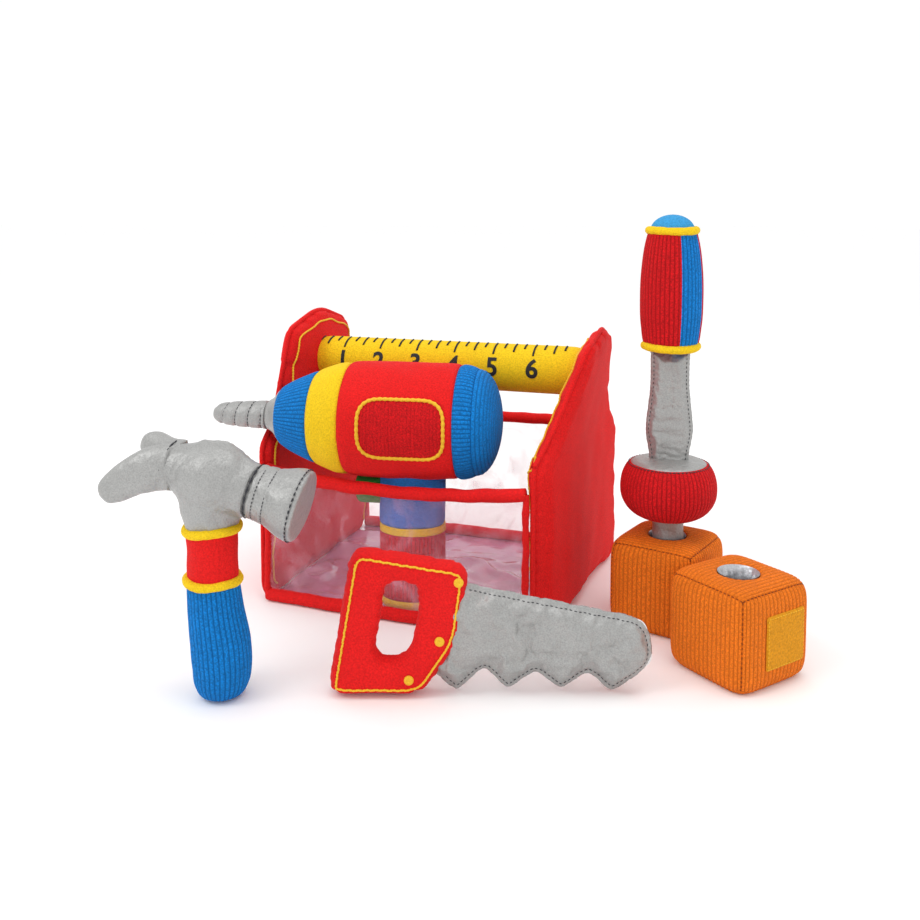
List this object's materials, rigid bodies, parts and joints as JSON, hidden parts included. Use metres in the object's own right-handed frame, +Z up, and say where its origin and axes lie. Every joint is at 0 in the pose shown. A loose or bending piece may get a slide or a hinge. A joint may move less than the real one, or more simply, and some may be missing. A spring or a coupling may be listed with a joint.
{
  "type": "plush toy toolbox set",
  "caption": "Soft fabric toy toolbox with clear sides and a ruler handle, with a plush drill, hammer, saw, screwdriver, screw and blocks.",
  "frame": {"origin": "centre of the toolbox's underside, on the surface it stands on", "axes": "+X along the toolbox to its right end, +Y to its back, +Z up"},
  "size_m": [0.3549, 0.2991, 0.2428],
  "materials": {
    "red_velour": "short cut pile, soft",
    "foam": "open-cell foam",
    "stuffing": "polyester fibre filling",
    "yellow_velour": "short cut pile, soft",
    "clear_vinyl": "clear soft sheet, slightly pink",
    "blue_corduroy": "corduroy, fine ribs",
    "blue_velour": "short cut pile, soft",
    "red_corduroy": "corduroy, fine ribs",
    "green_velour": "short cut pile, soft",
    "silver_satin": "silver satin-faced fabric",
    "crinkle_film": "thin crackling film",
    "orange_corduroy": "corduroy, fine ribs",
    "gold_velour": "short cut pile, soft",
    "moulded_plastic": "moulded, unpainted",
    "spring_steel": "plain",
    "white_cord": "braided cord"
  },
  "bodies": {
    "toolbox": {"left_end_outer_cover": "red_velour", "left_end_inner_cover": "red_velour", "right_end_outer_cover": "red_velour", "right_end_inner_cover": "red_velour", "end_foam_boards": "foam", "handle_cover": "yellow_velour", "handle_core": "foam", "front_window": "clear_vinyl", "back_window": "clear_vinyl", "floor_sheet": "clear_vinyl", "window_bindings": "red_velour"},
    "drill": {"drill_nose": "silver_satin", "drill_chuck_ring": "blue_corduroy", "drill_chuck_band": "yellow_velour", "drill_barrel_cover": "red_velour", "drill_rear_cap": "blue_corduroy", "drill_grip_bands": "yellow_velour", "drill_grip_lower": "red_corduroy", "drill_grip_upper": "blue_velour", "drill_side_patches": "red_corduroy", "drill_trigger": "green_velour", "drill_stuffing": "stuffing", "vibrator_case": "moulded_plastic", "vibrator_lid": "moulded_plastic", "vibrator_spring": "spring_steel"},
    "drill_bit": {"drill_bit": "silver_satin", "pull_cord": "white_cord"},
    "vibrator": {"vibrator_drum": "moulded_plastic", "vibrator_weight": "spring_steel"},
    "hammer": {"hammer_claws": "silver_satin", "hammer_head_cover": "silver_satin", "hammer_neck_cover": "silver_satin", "hammer_face": "silver_satin", "hammer_collar": "red_velour", "hammer_grip_cover": "blue_corduroy", "hammer_rings": "yellow_velour", "hammer_stuffing": "stuffing"},
    "saw": {"saw_handle_front": "red_velour", "saw_handle_back": "red_velour", "saw_handle_foam": "foam", "saw_blade_front": "silver_satin", "saw_blade_back": "silver_satin", "saw_crinkle_sheet": "crinkle_film"},
    "block_1": {"block_1_cover": "orange_corduroy", "block_1_hole_lining": "silver_satin", "block_1_foam": "foam"},
    "screw": {"screw_shank": "silver_satin", "screw_head_side": "red_corduroy", "screw_head_top": "silver_satin", "screw_stuffing": "stuffing"},
    "screwdriver": {"screwdriver_cap": "blue_velour", "screwdriver_grip_red": "red_corduroy", "screwdriver_grip_blue": "blue_corduroy", "screwdriver_rings": "yellow_velour", "screwdriver_blade": "silver_satin", "screwdriver_stuffing": "stuffing"},
    "block_2": {"block_2_cover": "orange_corduroy", "block_2_hole_lining": "silver_satin", "block_2_foam": "foam", "block_2_gold_patch": "gold_velour"}
  },
  "joints": [
    {"name": "drill_lift", "type": "slide", "parent": "toolbox", "child": "drill", "axis": [0, 0, 1], "range_m": [0, 0.2]},
    {"name": "bit_pull", "type": "slide", "parent": "drill", "child": "drill_bit", "axis": [-0.9848, -0.1736, 0], "range_m": [0, 0.045], "stiffness_N_per_m": 40, "springref_m": -0.02, "deforming": ["pull_cord"]},
    {"name": "vibrator_spin", "type": "hinge", "parent": "drill", "child": "vibrator", "pos_m": [-0.00197, -0.05735, 0.1081], "axis": [0.1736, -0.9848, 0], "range_deg": [0, 340]},
    {"name": "hammer_lift", "type": "slide", "parent": "toolbox", "child": "hammer", "axis": [0, 0, 1], "range_m": [0, 0.2]},
    {"name": "saw_lift", "type": "slide", "parent": "toolbox", "child": "saw", "axis": [0, 0, 1], "range_m": [0, 0.2]},
    {"name": "block_1_lift", "type": "slide", "parent": "toolbox", "child": "block_1", "axis": [0, 0, 1], "range_m": [0, 0.2]},
    {"name": "block_2_lift", "type": "slide", "parent": "toolbox", "child": "block_2", "axis": [0, 0, 1], "range_m": [0, 0.2]},
    {"name": "screw_turn", "type": "hinge", "parent": "block_1", "child": "screw", "pos_m": [0.153, -0.025, 0.06], "axis": [0, 0, 1], "continuous": true},
    {"name": "screwdriver_lift", "type": "slide", "parent": "screw", "child": "screwdriver", "axis": [0, 0, 1], "range_m": [0, 0.2]}
  ],
  "couplings": [
    {"joint": "vibrator_spin", "follows": "bit_pull", "rad_per_m": 106.38}
  ]
}
